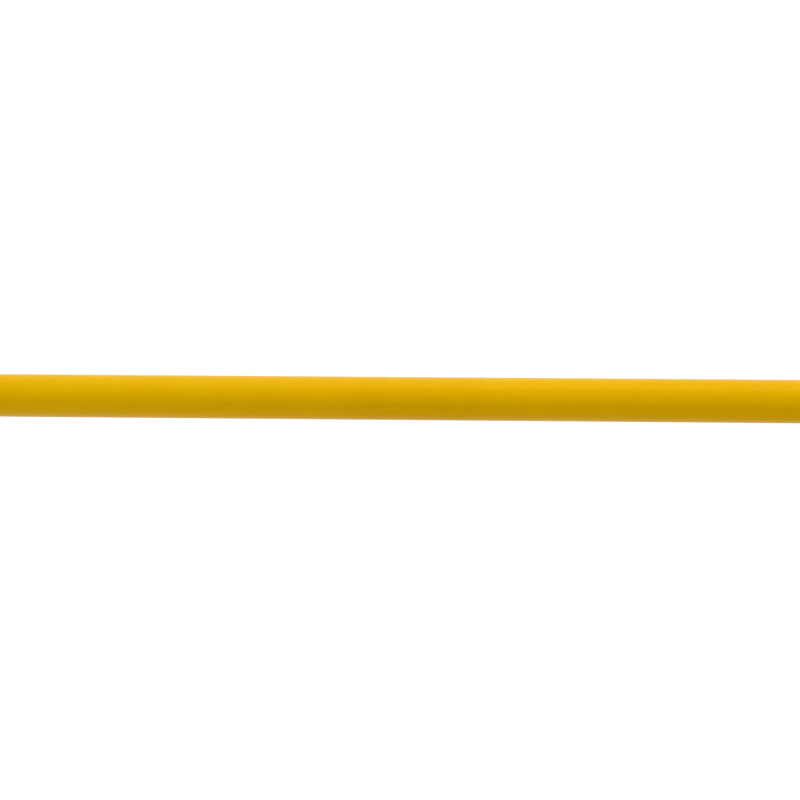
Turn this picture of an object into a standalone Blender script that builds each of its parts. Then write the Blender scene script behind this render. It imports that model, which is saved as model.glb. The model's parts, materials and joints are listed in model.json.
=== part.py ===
"""Windsock on a tilt-down pole.

Metres, +Z up. The origin is the middle of the base plate's underside.
The mast tips over towards -X on the pivot bolt, the head turns freely on
the spindle, and the tail of the sock hangs from the rear hoop.
"""
import math

import bpy
import bmesh
from mathutils import Matrix, Vector

GAP = 0.0003                 # clearance left between pieces that touch
ROUND = 32                   # sides of a large round piece
SMALL_ROUND = 16             # sides of a small round piece

# Base plate and hinge cheeks
BASE_SIDE = 0.220
BASE_THICK = 0.010
BASE_CORNER = 0.015
ANCHOR_HOLE = 0.014
ANCHOR_EDGE = 0.025          # anchor hole's middle to the plate's edge
CHEEK_THICK = 0.008
PIVOT_HEIGHT = 0.085
SLOT_RADIUS = 0.060
CHEEK_MARGIN = 0.018         # plate left outside the slot's centre line
CHEEK_FRONT = 0.030
GUSSET_THICK = 0.008
GUSSET_HEIGHT = 0.040
GUSSET_REACH = 0.045
GUSSET_NOSE = 0.006          # blunt tips of the gusset's two free corners
GUSSET_SHARE = 0.62          # of the cheek's reach each way from the pivot

# Mast foot
FOOT_WIDTH = 0.050           # across the tongue, between the cheeks
FOOT_DEPTH = 0.034
FOOT_PLAY = 0.0005           # between the tongue and each cheek
SOCKET_WALL = 0.0057
SOCKET_LENGTH = 0.100
SOCKET_FLOOR = 0.005
SOCKET_CLEAR = 0.001         # between the cheeks' rim and the socket's floor
BUSH_WALL = 0.0025

# Bolts: shank, width of the hexagon over its flats, head and nut thickness
BOLT_CLEAR = 0.0006          # hole over bolt, on the diameter
THREAD_SHOWN = 0.004         # thread that stands past a nut
PIVOT_BOLT = 0.016
PIVOT_FLATS = 0.024
PIVOT_HEAD = 0.010
PIVOT_NUT = 0.013
PIVOT_WASHER = 0.030
CLAMP_BOLT = 0.012
CLAMP_FLATS = 0.018
CLAMP_NUT = 0.010
CLAMP_WASHER = 0.024
SHOE_BOLT = 0.010
SHOE_FLATS = 0.016
SHOE_HEAD = 0.0064
SHOE_NUT = 0.008
WASHER_THICK = 0.0025

# Clamp lever
BOSS_RADIUS = 0.0105
BOSS_LENGTH = 0.022
BOSS_CROWN = 0.003           # lever left over the end of the clamp bolt
NECK_RADIUS = 0.0055
NECK_REACH = 0.040
GRIP_RADIUS = 0.0068
GRIP_REACH = 0.085
GRIP_RAKE = 0.006            # the grip leans this far away from the cheek

# Pole
POLE_OUTER = 0.0483
POLE_WALL = 0.0032
POLE_LENGTH = 2.250

# Spindle, bearings and hub
PLUG_LENGTH = 0.080
COLLAR_THICK = 0.010
SHOULDER = 0.0045
SHAFT = 0.020                # bearing bore
SHOULDER_STEP = 0.0025       # shoulder's radius past the shaft's
PLUG_CHAMFER = 0.002
BEARING_OUTER = 0.042
BEARING_WIDTH = 0.012
RACE_LAND = 0.0017           # each ring's edge from the middle of the balls
BALL = 0.0065
BALL_COUNT = 8
CAGE_THICK = 0.0014
CAGE_WIDTH = 0.003
HUB_WALL = 0.0072
HUB_LENGTH = 0.130
HUB_EDGE = 0.001
WAIST_STEP = 0.0038          # ledge that stops each bearing
BEARING_INSET = 0.0007       # bearing's face inside the hub's end
SEAL_LAND = 0.0022           # seal's radius past the bearing seat's
SEAL_CLEAR = 0.0006
NUT_THREAD = 0.016
SPINDLE_FLATS = 0.024
SPINDLE_NUT = 0.0145
SPINDLE_WASHER = 0.029
CAP_WALL = 0.0025
CAP_SKIRT = 0.014
CAP_HEIGHT = 0.034
CAP_SEAT = 0.008             # straight wall above the hub before the crown starts
CAP_STEPS = 7
CAP_BLUNT = 0.75             # 1 gives an elliptical crown, less a squarer one
CAP_FREE = 0.004             # spindle's end below the cap's crown
FIXING_SCREW = 0.006
FIXING_HEAD = 0.0033
FIXING_DEPTH = 0.012         # blind hole in the plug

# Sock frame
MOUTH_RADIUS = 0.150
MOUTH_OFFSET = 0.100         # mouth hoop ahead of the pole's axis
HOOP_ROD = 0.010
ARM_TUBE = 0.016
STRUT_ROD = 0.008
STRUT_COUNT = 4
ARM_SPREAD = 0.020           # arms leave the hub this far from its middle
ARM_TRIM = 0.001             # arm's tip stops this short of the rod's middle

# Sock
SOCK_LENGTH = 1.200
TAIL_RADIUS = 0.075
BAND_COUNT = 5
CLOTH = 0.0015
CLOTH_CLEAR = 0.0008
MOUTH_LIP = 0.006            # cloth ahead of the mouth hoop's middle
TIE_COUNT = 8
TIE_ROD = 0.0032
TIE_FORWARD = 0.006          # middle of a tie's loop behind the mouth hoop
TIE_OUT = 0.002              # and outside it
TIE_SLACK = 0.005            # tie's radius past the hoop's rod
EYELET_HOLE = 0.008
EYELET_BACK = 0.020          # row of eyelets behind the mouth hoop
TAIL_HINGE = 0.070           # the tail bends on a line this far under the hoop's middle
TAIL_START = 0.006           # hanging cloth starts this far under the rear hoop
TAIL_CLEAR = 0.003           # hanging cloth behind the rear hoop
HANG_FILL = 0.60             # how round the limp tail stays, 1 is a full circle
HANG_WIDTH = 0.72            # width left once the limp tail has creased

TOOL_REACH = 0.1             # cutting shapes run this far past what they cut

for old in list(bpy.data.objects):
    bpy.data.objects.remove(old, do_unlink=True)


# ---------------------------------------------------------------- helpers
def material(name, colour, roughness, metallic):
    """A plain surface with one colour."""
    found = bpy.data.materials.get(name) or bpy.data.materials.new(name)
    found.use_nodes = True
    surface = found.node_tree.nodes["Principled BSDF"]
    surface.inputs["Base Color"].default_value = (*colour, 1.0)
    surface.inputs["Roughness"].default_value = roughness
    surface.inputs["Metallic"].default_value = metallic
    return found


YELLOW = ("yellow_coat", (0.78, 0.48, 0.01), 0.32, 0.0)
GALVANISED = ("galvanised_steel", (0.55, 0.57, 0.58), 0.5, 0.9)
BRIGHT = ("bright_steel", (0.70, 0.70, 0.71), 0.25, 1.0)
BRONZE = ("bronze", (0.60, 0.42, 0.18), 0.35, 1.0)
BLACK = ("black_plastic", (0.02, 0.02, 0.02), 0.5, 0.0)
ORANGE_CLOTH = ("orange_cloth", (0.85, 0.16, 0.02), 0.8, 0.0)
WHITE_CLOTH = ("white_cloth", (0.85, 0.85, 0.82), 0.8, 0.0)


def solid(name, shape, look, at=(0, 0, 0), parent=None):
    """An object from a bmesh whose corners are measured from the point at."""
    mesh = bpy.data.meshes.new(name)
    bmesh.ops.recalc_face_normals(shape, faces=shape.faces)
    shape.to_mesh(mesh)
    shape.free()
    made = bpy.data.objects.new(name, mesh)
    bpy.context.scene.collection.objects.link(made)
    made.location = at
    if look:
        mesh.materials.append(material(f"{name}_{look[0]}", *look[1:]))
    mesh.shade_smooth()
    mesh.set_sharp_from_angle(angle=math.radians(35))
    if parent:
        made.parent = parent
        made.matrix_parent_inverse = parent.matrix_world.inverted()
    return made


def pivot(name, at, parent=None):
    """An empty on a joint's axis."""
    made = bpy.data.objects.new(name, None)
    bpy.context.scene.collection.objects.link(made)
    made.location = at
    if parent:
        made.parent = parent
        made.matrix_parent_inverse = parent.matrix_world.inverted()
    bpy.context.view_layer.update()
    return made


def turned(profile, sides=ROUND):
    """A body turned about Z from a closed profile of (radius, height)."""
    shape = bmesh.new()
    rings = []
    for step in range(sides):
        angle = math.tau * step / sides
        rings.append([shape.verts.new((r * math.cos(angle), r * math.sin(angle), z))
                      for r, z in profile])
    for step in range(sides):
        one = rings[step]
        two = rings[(step + 1) % sides]
        for k in range(len(profile)):
            after = (k + 1) % len(profile)
            shape.faces.new((one[k], two[k], two[after], one[after]))
    bmesh.ops.remove_doubles(shape, verts=shape.verts, dist=1e-6)
    bmesh.ops.dissolve_degenerate(shape, edges=shape.edges, dist=1e-6)
    return shape


def tube(outer, inner, low, high, sides=ROUND):
    """A straight tube about Z, given by its radii."""
    return turned([(outer, low), (outer, high), (inner, high), (inner, low)], sides)


def rod(radius, low, high, sides=SMALL_ROUND):
    """A straight round bar about Z."""
    shape = bmesh.new()
    bmesh.ops.create_cone(shape, cap_ends=True, segments=sides, radius1=radius,
                          radius2=radius, depth=high - low)
    bmesh.ops.translate(shape, verts=shape.verts, vec=(0, 0, (low + high) / 2))
    return shape


def hexagon(across_flats, low, high):
    """A hexagonal prism about Z."""
    return rod(across_flats / math.sqrt(3), low, high, 6)


def plate(outline, thick, axis="Z"):
    """A flat plate from an outline, centred on its own mid-plane."""
    shape = bmesh.new()
    corners = [shape.verts.new((a, b, -thick / 2)) for a, b in outline]
    face = shape.faces.new(corners)
    grown = bmesh.ops.extrude_face_region(shape, geom=[face])
    raised = [v for v in grown["geom"] if isinstance(v, bmesh.types.BMVert)]
    bmesh.ops.translate(shape, verts=raised, vec=(0, 0, thick))
    if axis == "Y":
        bmesh.ops.rotate(shape, verts=shape.verts, matrix=Matrix.Rotation(math.pi / 2, 3, "X"))
    return shape


def turn(shape, angle, axis):
    """Turn a shape about an axis through its own origin."""
    bmesh.ops.rotate(shape, verts=shape.verts, matrix=Matrix.Rotation(angle, 3, axis))
    return shape


def shift(shape, vector):
    """Move a shape."""
    bmesh.ops.translate(shape, verts=shape.verts, vec=vector)
    return shape


def together(*shapes):
    """Several separate bodies in one mesh."""
    whole = bmesh.new()
    for shape in shapes:
        part_mesh = bpy.data.meshes.new("scratch")
        bmesh.ops.recalc_face_normals(shape, faces=shape.faces)
        shape.to_mesh(part_mesh)
        shape.free()
        whole.from_mesh(part_mesh)
        bpy.data.meshes.remove(part_mesh)
    return whole


def cut(body, shape, at=(0, 0, 0), how="DIFFERENCE"):
    """Take a shape out of a body, or join it on."""
    tool = solid(f"{body.name}_{how.lower()}", shape, None, at)
    tool.parent = body.parent
    if body.parent:
        tool.matrix_parent_inverse = body.parent.matrix_world.inverted()
    tool.hide_render = True
    tool.display_type = "WIRE"
    step = body.modifiers.new("cut", "BOOLEAN")
    step.operation = how
    step.solver = "EXACT"
    step.object = tool
    return body


def along(axis, shape):
    """Lay a Z shape along X or Y."""
    if axis == "X":
        return turn(shape, math.pi / 2, "Y")
    return turn(shape, -math.pi / 2, "X")


def between(start, end, radius, sides=SMALL_ROUND):
    """A round bar between two points."""
    start = Vector(start)
    end = Vector(end)
    shape = rod(radius, 0, (end - start).length, sides)
    facing = (end - start).to_track_quat("Z", "Y").to_matrix()
    bmesh.ops.rotate(shape, verts=shape.verts, matrix=facing)
    return shift(shape, start)


def hoop(ring_radius, rod_radius, x, z, ring_sides=ROUND, rod_sides=8):
    """A round rod bent into a ring that faces along X."""
    profile = [(ring_radius + rod_radius * math.cos(math.tau * k / rod_sides),
                rod_radius * math.sin(math.tau * k / rod_sides)) for k in range(rod_sides)]
    return shift(along("X", turned(profile, ring_sides)), (x, 0, z))


# ---------------------------------------------------------------- heights
cheek_reach = SLOT_RADIUS + CHEEK_MARGIN
cheek_inner = FOOT_WIDTH / 2 + FOOT_PLAY
cheek_outer = cheek_inner + CHEEK_THICK
clamp_height = PIVOT_HEIGHT + SLOT_RADIUS
socket_bottom = PIVOT_HEIGHT + cheek_reach + SOCKET_CLEAR + SOCKET_FLOOR
socket_top = socket_bottom + SOCKET_LENGTH
socket_bore = POLE_OUTER / 2 + GAP
socket_outer = socket_bore + SOCKET_WALL
pole_bottom = socket_bottom + GAP
pole_top = pole_bottom + POLE_LENGTH
pole_inner = POLE_OUTER / 2 - POLE_WALL
collar_top = pole_top + GAP + COLLAR_THICK
bearing_low = collar_top + SHOULDER
hub_low = bearing_low - BEARING_INSET
hub_high = hub_low + HUB_LENGTH
bearing_high = hub_high - BEARING_INSET - BEARING_WIDTH
bearing_seat = BEARING_OUTER / 2 + GAP
hub_outer = bearing_seat + HUB_WALL
head_middle = (hub_low + hub_high) / 2
band_length = SOCK_LENGTH / BAND_COUNT
rear_offset = MOUTH_OFFSET + band_length


def cone_radius(distance):
    """The full sock's radius at a distance along it from the mouth hoop."""
    return MOUTH_RADIUS + (TAIL_RADIUS - MOUTH_RADIUS) * distance / SOCK_LENGTH


rear_radius = cone_radius(band_length)
hang_top = head_middle - rear_radius - HOOP_ROD / 2 - CLOTH_CLEAR

mast_pivot = pivot("mast_pivot", (0, 0, PIVOT_HEIGHT))
head_pivot = pivot("head_pivot", (0, 0, head_middle), mast_pivot)
tail_pivot = pivot("tail_pivot", (rear_offset, 0, head_middle - TAIL_HINGE), head_pivot)
lever_pivot = pivot("lever_pivot", (0, 0, clamp_height), mast_pivot)


# ---------------------------------------------------------------- base
def base():
    """The bolted-down plate, its two hinge cheeks and their gussets."""
    half = BASE_SIDE / 2
    outline = []
    for corner in range(4):
        middle = math.pi / 4 + corner * math.pi / 2
        cx = math.copysign(half - BASE_CORNER, math.cos(middle))
        cy = math.copysign(half - BASE_CORNER, math.sin(middle))
        for step in range(4):
            angle = corner * math.pi / 2 + step * math.pi / 6
            outline.append((cx + BASE_CORNER * math.cos(angle), cy + BASE_CORNER * math.sin(angle)))
    floor = solid("base_plate", plate(outline, BASE_THICK), GALVANISED, (0, 0, BASE_THICK / 2))
    holes = []
    for sx in (-1, 1):
        for sy in (-1, 1):
            hole = rod(ANCHOR_HOLE / 2, -BASE_THICK, BASE_THICK)
            holes.append(shift(hole, (sx * (half - ANCHOR_EDGE), sy * (half - ANCHOR_EDGE), 0)))
    cut(floor, together(*holes), (0, 0, BASE_THICK / 2))

    bottom = BASE_THICK + GAP - PIVOT_HEIGHT
    first = math.acos(CHEEK_FRONT / cheek_reach)
    side = [(-cheek_reach, bottom), (CHEEK_FRONT, bottom)]
    for step in range(13):
        angle = first + (math.pi - first) * step / 12
        side.append((cheek_reach * math.cos(angle), cheek_reach * math.sin(angle)))
    # the outline is drawn in X and Z; laying the plate on Y keeps both
    slot_half = CLAMP_BOLT / 2 + BOLT_CLEAR
    slot = []
    for step in range(9):
        angle = math.pi / 2 + math.pi / 2 * step / 8
        reach = SLOT_RADIUS + slot_half
        slot.append((reach * math.cos(angle), reach * math.sin(angle)))
    for step in range(1, 6):
        angle = math.pi + math.pi * step / 6
        slot.append((-SLOT_RADIUS + slot_half * math.cos(angle), slot_half * math.sin(angle)))
    for step in range(9):
        angle = math.pi - math.pi / 2 * step / 8
        reach = SLOT_RADIUS - slot_half
        slot.append((reach * math.cos(angle), reach * math.sin(angle)))
    for step in range(1, 6):
        angle = -math.pi / 2 + math.pi * step / 6
        slot.append((slot_half * math.cos(angle), SLOT_RADIUS + slot_half * math.sin(angle)))
    for name, way in (("cheek_left", 1), ("cheek_right", -1)):
        place = (0, way * (cheek_inner + CHEEK_THICK / 2), PIVOT_HEIGHT)
        cheek = solid(name, plate(side, CHEEK_THICK, "Y"), GALVANISED, place)
        cut(cheek, plate(slot, CHEEK_THICK * 3, "Y"), place)
        hole = along("Y", rod((PIVOT_BOLT + BOLT_CLEAR) / 2, -CHEEK_THICK, CHEEK_THICK))
        cut(cheek, hole, place)

    ribs = [(x, way) for x in (-cheek_reach * GUSSET_SHARE, CHEEK_FRONT * GUSSET_SHARE)
            for way in (1, -1)]
    for number, (x, way) in enumerate(ribs, 1):
        rib = plate([(0, 0), (GUSSET_REACH, 0), (GUSSET_REACH, GUSSET_NOSE),
                     (GUSSET_NOSE, GUSSET_HEIGHT), (0, GUSSET_HEIGHT)], GUSSET_THICK, "Y")
        turn(rib, way * math.pi / 2, "Z")
        solid(f"base_gusset_{number}", rib, GALVANISED,
              (x, way * (cheek_outer + GAP), BASE_THICK + GAP))


def washers(name, radius, hole, start, end, place, parent=None):
    """The two washers of a cross bolt, between start and end along Y."""
    for number, side in enumerate((start, end - WASHER_THICK), 1):
        ring = along("Y", tube(radius, hole, side, side + WASHER_THICK, SMALL_ROUND))
        solid(f"{name}_{number}", ring, BRIGHT, place, parent)


def nut(name, flats, thick, hole, low, axis, place, parent=None):
    """A hexagon nut with a clear bore, its near face at low along an axis."""
    made = solid(name, along(axis, hexagon(flats, low, low + thick)), BRIGHT, place, parent)
    return cut(made, along(axis, rod(hole, 0, low + thick + TOOL_REACH)), place)


def pivot_bolt():
    """The M16 bolt that the mast tips on, with its washers and nut."""
    place = (0, 0, PIVOT_HEIGHT)
    end = cheek_outer + GAP + WASHER_THICK
    head_face = -end - GAP
    shank = rod(PIVOT_BOLT / 2, head_face - PIVOT_HEAD / 2, end + GAP + PIVOT_NUT + THREAD_SHOWN)
    bolt = solid("pivot_bolt", along("Y", shank), BRIGHT, place)
    head = hexagon(PIVOT_FLATS, head_face - PIVOT_HEAD, head_face)
    cut(bolt, along("Y", head), place, "UNION")
    hole = (PIVOT_BOLT + BOLT_CLEAR) / 2
    washers("pivot_washer", PIVOT_WASHER / 2, hole, -end, end, place)
    nut("pivot_nut", PIVOT_FLATS, PIVOT_NUT, hole, end + GAP, "Y", place)


# ---------------------------------------------------------------- mast foot
def mast_foot():
    """The tongue between the cheeks and the socket that takes the pole."""
    place = (0, 0, PIVOT_HEIGHT)
    half = FOOT_DEPTH / 2
    bore_low = socket_bottom - PIVOT_HEIGHT
    outline = [(half, bore_low), (-half, bore_low)]
    for step in range(9):
        angle = math.pi + math.pi * step / 8
        outline.append((half * math.cos(angle), half * math.sin(angle)))
    foot = solid("mast_foot", plate(outline, FOOT_WIDTH, "Y"), GALVANISED, place, mast_pivot)
    high = socket_top - PIVOT_HEIGHT
    cut(foot, rod(socket_outer, bore_low - SOCKET_FLOOR, high, ROUND), place, "UNION")
    cut(foot, rod(socket_bore, bore_low, high + TOOL_REACH, ROUND), place)
    bush_inner = (PIVOT_BOLT + BOLT_CLEAR) / 2
    bush_outer = bush_inner + BUSH_WALL
    cut(foot, along("Y", rod(bush_outer + GAP, -FOOT_WIDTH, FOOT_WIDTH)), place)
    clamp_hole = (CLAMP_BOLT + BOLT_CLEAR) / 2
    cut(foot, along("Y", rod(clamp_hole, -FOOT_WIDTH, FOOT_WIDTH)), (0, 0, clamp_height))
    for z in shoe_bolt_heights():
        cut(foot, shoe_hole(), (0, 0, z))
    bush = tube(bush_outer, bush_inner, -FOOT_WIDTH / 2, FOOT_WIDTH / 2, SMALL_ROUND)
    solid("pivot_bush", along("Y", bush), BRONZE, place, mast_pivot)


def shoe_bolt_heights():
    """The two bolts that hold the pole in its socket."""
    return (socket_bottom + SOCKET_LENGTH * 0.30, socket_bottom + SOCKET_LENGTH * 0.72)


def shoe_hole():
    """A clear hole across the socket and the pole."""
    return along("X", rod((SHOE_BOLT + BOLT_CLEAR) / 2, -TOOL_REACH, TOOL_REACH))


def shoe_bolts():
    """Through bolts across the socket, heads on one side and nuts on the other."""
    reach = socket_outer + GAP
    hole = (SHOE_BOLT + BOLT_CLEAR) / 2
    for number, z in enumerate(shoe_bolt_heights(), 1):
        place = (0, 0, z)
        shank = rod(SHOE_BOLT / 2, -reach - SHOE_HEAD / 2, reach + SHOE_NUT + THREAD_SHOWN)
        bolt = solid(f"shoe_bolt_{number}", along("X", shank), BRIGHT, place, mast_pivot)
        head = hexagon(SHOE_FLATS, -reach - SHOE_HEAD, -reach)
        cut(bolt, along("X", head), place, "UNION")
        nut(f"shoe_nut_{number}", SHOE_FLATS, SHOE_NUT, hole, reach, "X", place, mast_pivot)


def clamp():
    """The clamp bolt in the cheeks' slots, its washers, nut and hand lever."""
    place = (0, 0, clamp_height)
    end = cheek_outer + GAP + WASHER_THICK
    face = -end - GAP
    tip = face - BOSS_LENGTH
    shank = rod(CLAMP_BOLT / 2, tip + BOSS_CROWN + GAP, end + GAP + CLAMP_NUT + THREAD_SHOWN)
    solid("clamp_bolt", along("Y", shank), BRIGHT, place, mast_pivot)
    hole = (CLAMP_BOLT + BOLT_CLEAR) / 2
    washers("clamp_washer", CLAMP_WASHER / 2, hole, -end, end, place, mast_pivot)
    nut("clamp_nut", CLAMP_FLATS, CLAMP_NUT, hole, end + GAP, "Y", place, mast_pivot)

    boss = along("Y", rod(BOSS_RADIUS, tip, face, ROUND // 2))
    lever = solid("clamp_lever", boss, BLACK, place, lever_pivot)
    root = Vector((0, tip + NECK_RADIUS + BOSS_CROWN / 2, 0))
    elbow = Vector((NECK_REACH, tip + BOSS_CROWN, 0))
    end_of_grip = Vector((GRIP_REACH, elbow.y - GRIP_RAKE, 0))
    grip_start = elbow.lerp(root, 0.1)
    cut(lever, between(root, elbow, NECK_RADIUS, 12), place, "UNION")
    cut(lever, between(grip_start, end_of_grip, GRIP_RADIUS, 12), place, "UNION")
    cut(lever, along("Y", rod(hole, tip + BOSS_CROWN, face + TOOL_REACH)), place)


# ---------------------------------------------------------------- pole
def pole():
    """The plain round pole, drilled at both ends."""
    tube_shape = tube(POLE_OUTER / 2, pole_inner, 0, POLE_LENGTH, ROUND)
    body = solid("pole", tube_shape, YELLOW, (0, 0, pole_bottom), mast_pivot)
    for z in shoe_bolt_heights():
        cut(body, shoe_hole(), (0, 0, z))
    for angle in fixing_angles():
        hole = rod((FIXING_SCREW + BOLT_CLEAR) / 2, pole_inner / 2, TOOL_REACH, 12)
        cut(body, turn(along("X", hole), angle, "Z"), (0, 0, pole_top - PLUG_LENGTH / 2))


def fixing_angles():
    """The three screws that hold the spindle's plug."""
    return [math.tau * k / 3 for k in range(3)]


def spindle():
    """The turned steel plug and shaft that the head runs on."""
    plug = pole_inner - GAP
    collar = POLE_OUTER / 2
    shaft = SHAFT / 2 - GAP
    shoulder = SHAFT / 2 + SHOULDER_STEP
    thread = NUT_THREAD / 2
    shaft_top = bearing_high + BEARING_WIDTH
    end = cap_inside() - CAP_FREE
    profile = [(0, pole_top - PLUG_LENGTH), (plug - PLUG_CHAMFER, pole_top - PLUG_LENGTH),
               (plug, pole_top - PLUG_LENGTH + PLUG_CHAMFER), (plug, pole_top + GAP),
               (collar, pole_top + GAP), (collar, collar_top - HUB_EDGE),
               (collar - HUB_EDGE, collar_top), (shoulder, collar_top),
               (shoulder, bearing_low - GAP), (shaft, bearing_low - GAP), (shaft, shaft_top),
               (thread, shaft_top), (thread, end), (0, end)]
    profile = [(r, z - pole_top) for r, z in profile]
    body = solid("spindle", turned(profile, ROUND), BRIGHT, (0, 0, pole_top), mast_pivot)
    depth = plug - FIXING_DEPTH
    outside = POLE_OUTER / 2 + GAP
    place = (0, 0, pole_top - PLUG_LENGTH / 2)
    for number, angle in enumerate(fixing_angles(), 1):
        hole = rod((FIXING_SCREW + BOLT_CLEAR) / 2, depth, TOOL_REACH, 12)
        cut(body, turn(along("X", hole), angle, "Z"), place)
        shank = rod(FIXING_SCREW / 2, depth + GAP, outside + FIXING_HEAD / 2, 12)
        screw = solid(f"spindle_screw_{number}", turn(along("X", shank), angle, "Z"), BRIGHT, place,
                      mast_pivot)
        head = rod(FIXING_SCREW * 0.875, outside, outside + FIXING_HEAD, 12)
        cut(screw, turn(along("X", head), angle, "Z"), place, "UNION")

    place = (0, 0, pole_top)
    hole = thread + GAP
    seat = shaft_top + GAP - pole_top
    washer = tube(SPINDLE_WASHER / 2, hole, seat, seat + WASHER_THICK, SMALL_ROUND)
    solid("spindle_washer", washer, BRIGHT, place, mast_pivot)
    low = seat + WASHER_THICK + GAP
    block = solid("spindle_nut", hexagon(SPINDLE_FLATS, low, low + SPINDLE_NUT), BRIGHT, place,
                  mast_pivot)
    cut(block, rod(hole, low - TOOL_REACH, low + TOOL_REACH), place)


def cap_inside():
    """The underside of the rain cap's crown."""
    return hub_high + CAP_HEIGHT - CAP_WALL


def bearings():
    """Two deep-groove ball bearings, as rings and balls."""
    bore = SHAFT / 2
    outside = BEARING_OUTER / 2
    race = (bore + outside) / 2
    for name, low in (("lower_bearing", bearing_low), ("upper_bearing", bearing_high)):
        middle = low + BEARING_WIDTH / 2
        half = BEARING_WIDTH / 2
        inner_land = race - RACE_LAND
        outer_land = race + RACE_LAND
        groove = BALL / 2 + GAP
        inner = [(bore, -half), (inner_land, -half)]
        outer = [(outside, half), (outer_land, half)]
        start = math.asin(RACE_LAND / groove)
        for step in range(7):
            angle = math.pi - start - (math.pi - 2 * start) * step / 6
            inner.append((race - groove * math.sin(angle), groove * math.cos(angle)))
            outer.append((race + groove * math.sin(angle), -groove * math.cos(angle)))
        inner += [(inner_land, half), (bore, half)]
        outer += [(outer_land, -half), (outside, -half)]
        solid(f"{name}_inner", turned(inner, 24), BRIGHT, (0, 0, middle), mast_pivot)
        solid(f"{name}_outer", turned(outer, 24), BRIGHT, (0, 0, middle), head_pivot)
        ring = tube(race + CAGE_THICK / 2, race - CAGE_THICK / 2, -CAGE_WIDTH / 2, CAGE_WIDTH / 2, 24)
        cage = solid(f"{name}_cage", ring, BRONZE, (0, 0, middle), head_pivot)
        balls = []
        for step in range(BALL_COUNT):
            ball = bmesh.new()
            bmesh.ops.create_icosphere(ball, subdivisions=1, radius=BALL / 2)
            angle = math.tau * step / BALL_COUNT
            balls.append(shift(ball, (race * math.cos(angle), race * math.sin(angle), 0)))
        cut(cage, together(*balls), (0, 0, middle), "UNION")


# ---------------------------------------------------------------- head
def hub():
    """The bearing housing, its seal and its rain cap."""
    low = hub_low - head_middle
    high = hub_high - head_middle
    depth = BEARING_INSET + BEARING_WIDTH + GAP
    waist = bearing_seat - WAIST_STEP
    profile = [(bearing_seat, low), (hub_outer - HUB_EDGE, low), (hub_outer, low + HUB_EDGE),
               (hub_outer, high - HUB_EDGE), (hub_outer - HUB_EDGE, high), (bearing_seat, high),
               (bearing_seat, high - depth), (waist, high - depth), (waist, low + depth),
               (bearing_seat, low + depth)]
    solid("hub", turned(profile, ROUND), GALVANISED, (0, 0, head_middle), head_pivot)
    seal_bore = SHAFT / 2 + SHOULDER_STEP + SEAL_CLEAR
    seal = tube(bearing_seat + SEAL_LAND, seal_bore, SEAL_CLEAR, hub_low - GAP - collar_top)
    solid("dust_seal", seal, BLACK, (0, 0, collar_top), head_pivot)
    inner = hub_outer + GAP
    outer = inner + CAP_WALL
    hollow = CAP_HEIGHT - CAP_WALL
    inside = [(inner, -CAP_SKIRT)]
    shell = [(outer, -CAP_SKIRT)]
    for step in range(CAP_STEPS):
        angle = math.pi / 2 * step / CAP_STEPS
        across = math.cos(angle) ** CAP_BLUNT
        rise = math.sin(angle) ** CAP_BLUNT
        inside.append((inner * across, CAP_SEAT + (hollow - CAP_SEAT) * rise))
        shell.append((outer * across, CAP_SEAT + (CAP_HEIGHT - CAP_SEAT) * rise))
    profile = inside + [(0, hollow), (0, CAP_HEIGHT)] + shell[::-1]
    solid("rain_cap", turned(profile, ROUND), BLACK, (0, 0, hub_high), head_pivot)


def frame():
    """Arms, hoops and struts that hold the mouth of the sock open."""
    rod_radius = HOOP_ROD / 2
    place = (0, 0, head_middle)
    solid("mouth_hoop", hoop(MOUTH_RADIUS, rod_radius, MOUTH_OFFSET, 0), GALVANISED, place, head_pivot)
    solid("rear_hoop", hoop(rear_radius, rod_radius, rear_offset, 0), GALVANISED, place, head_pivot)
    for name, way in (("upper_arm", 1), ("lower_arm", -1)):
        root = Vector((hub_outer, 0, way * ARM_SPREAD))
        end = Vector((MOUTH_OFFSET, 0, way * MOUTH_RADIUS))
        root -= (end - root).normalized() * ARM_TUBE
        arm = solid(name, between(root, end, ARM_TUBE / 2, 12), GALVANISED, place, head_pivot)
        cut(arm, rod(hub_outer + GAP, -HUB_LENGTH, HUB_LENGTH, ROUND), place)
        cut(arm, hoop(MOUTH_RADIUS, rod_radius + GAP, MOUTH_OFFSET, 0), place)
        trim = bmesh.new()
        bmesh.ops.create_cube(trim, size=TOOL_REACH)
        cut(arm, shift(trim, end + Vector((TOOL_REACH / 2 - ARM_TRIM, 0, 0))), place)
        over = bmesh.new()
        bmesh.ops.create_cube(over, size=TOOL_REACH)
        cut(arm, shift(over, end + Vector((0, 0, way * (TOOL_REACH / 2 - ARM_TRIM)))), place)
    for step in range(STRUT_COUNT):
        angle = math.tau * (step + 0.5) / STRUT_COUNT
        way = Vector((0, math.cos(angle), math.sin(angle)))
        start = Vector((MOUTH_OFFSET, 0, 0)) + way * MOUTH_RADIUS
        end = Vector((rear_offset, 0, 0)) + way * rear_radius
        run = (end - start).normalized()
        shape = between(start + run * GAP, end - run * GAP, STRUT_ROD / 2, 10)
        bar = solid(f"strut_{step + 1}", shape, GALVANISED, place, head_pivot)
        cut(bar, hoop(MOUTH_RADIUS, rod_radius + GAP, MOUTH_OFFSET, 0), place)
        cut(bar, hoop(rear_radius, rod_radius + GAP, rear_offset, 0), place)


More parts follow.
